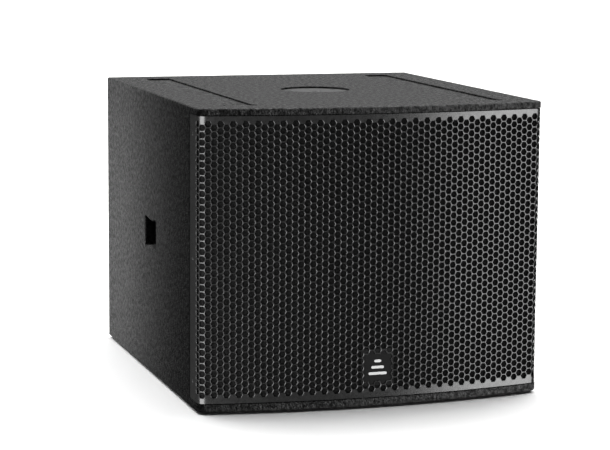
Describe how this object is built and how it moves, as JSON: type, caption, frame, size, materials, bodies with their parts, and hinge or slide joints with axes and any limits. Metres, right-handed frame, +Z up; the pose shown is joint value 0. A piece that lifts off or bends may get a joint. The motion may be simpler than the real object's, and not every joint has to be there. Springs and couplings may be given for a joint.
{
  "type": "pa subwoofer cabinet",
  "caption": "Compact bass-reflex PA subwoofer box with a bowed hex-perforated grille, hand holes, stacking channels and a pole flange.",
  "frame": {"origin": "middle of the footprint, on the floor under the stacking skids", "axes": "+Z up; the grille faces -Y; +X is to the right seen from the front"},
  "size_m": [0.604, 0.7, 0.504],
  "materials": {
    "textured_coating": "plywood under a hard, finely pebbled black coating",
    "raw_ply": "bare plywood stained thin black inside the box",
    "grille_steel": "satin black powder coat on steel sheet",
    "black_steel": "satin black powder coat",
    "foam": "open-cell black foam",
    "damping_foam": "grey acoustic foam",
    "screw_black": "black oxide",
    "zinc": "bright zinc plate",
    "badge_black": "satin black",
    "badge_mark": "brushed aluminium",
    "skid_plastic": "hard black polyethylene",
    "cup_plastic": "moulded matt black",
    "socket_plastic": "glass-filled black plastic",
    "board": "green circuit board",
    "cast_aluminium": "black powder-coated casting",
    "gasket_foam": "closed-cell black foam",
    "surround_cloth": "doped black cloth",
    "cone_paper": "pressed black paper pulp",
    "former_kapton": "amber film",
    "copper": "enamelled copper wire",
    "spider_cloth": "phenolic-treated yellow cloth",
    "plate_steel": "zinc-plated steel",
    "ferrite": "fired ferrite",
    "terminal_plastic": "black moulded block",
    "lead_sheath": "black flexible sheath"
  },
  "bodies": {
    "cabinet": {"top_panel": "textured_coating", "bottom_panel": "textured_coating", "left_side_panel": "textured_coating", "right_side_panel": "textured_coating", "back_panel": "textured_coating", "baffle": "raw_ply", "left_port_divider": "raw_ply", "right_port_divider": "raw_ply", "baffle_battens": "raw_ply", "window_brace": "raw_ply", "left_skid": "skid_plastic", "right_skid": "skid_plastic", "skid_screws": "zinc", "front_grille": "grille_steel", "grille_foam": "foam", "grille_screws": "screw_black", "badge_plate": "badge_black", "badge_emblem": "badge_mark", "pole_flange": "black_steel", "flange_screws": "screw_black", "left_handle_cup": "cup_plastic", "right_handle_cup": "cup_plastic", "handle_cup_screws": "zinc", "connector_dish": "black_steel", "dish_screws": "screw_black", "left_speaker_socket": "socket_plastic", "right_speaker_socket": "socket_plastic", "socket_screws": "screw_black", "link_board": "board", "driver_basket": "cast_aluminium", "driver_gasket": "gasket_foam", "surround": "surround_cloth", "spider": "spider_cloth", "top_plate": "plate_steel", "magnet_ring": "ferrite", "back_plate": "plate_steel", "driver_terminals": "terminal_plastic", "driver_bolts": "zinc", "t_nuts": "zinc", "back_damping": "damping_foam", "left_side_damping": "damping_foam", "right_side_damping": "damping_foam", "speaker_lead": "lead_sheath", "lead_clip": "cup_plastic"},
    "cone_assembly": {"cone": "cone_paper", "dust_cap": "cone_paper", "coil_former": "former_kapton", "voice_coil": "copper"}
  },
  "joints": [
    {"name": "cone_travel", "type": "slide", "parent": "cabinet", "child": "cone_assembly", "axis": [0, -1, 0], "range_m": [-0.01, 0.01], "stiffness_N_per_m": 6000, "deforming": ["surround", "spider"]}
  ]
}
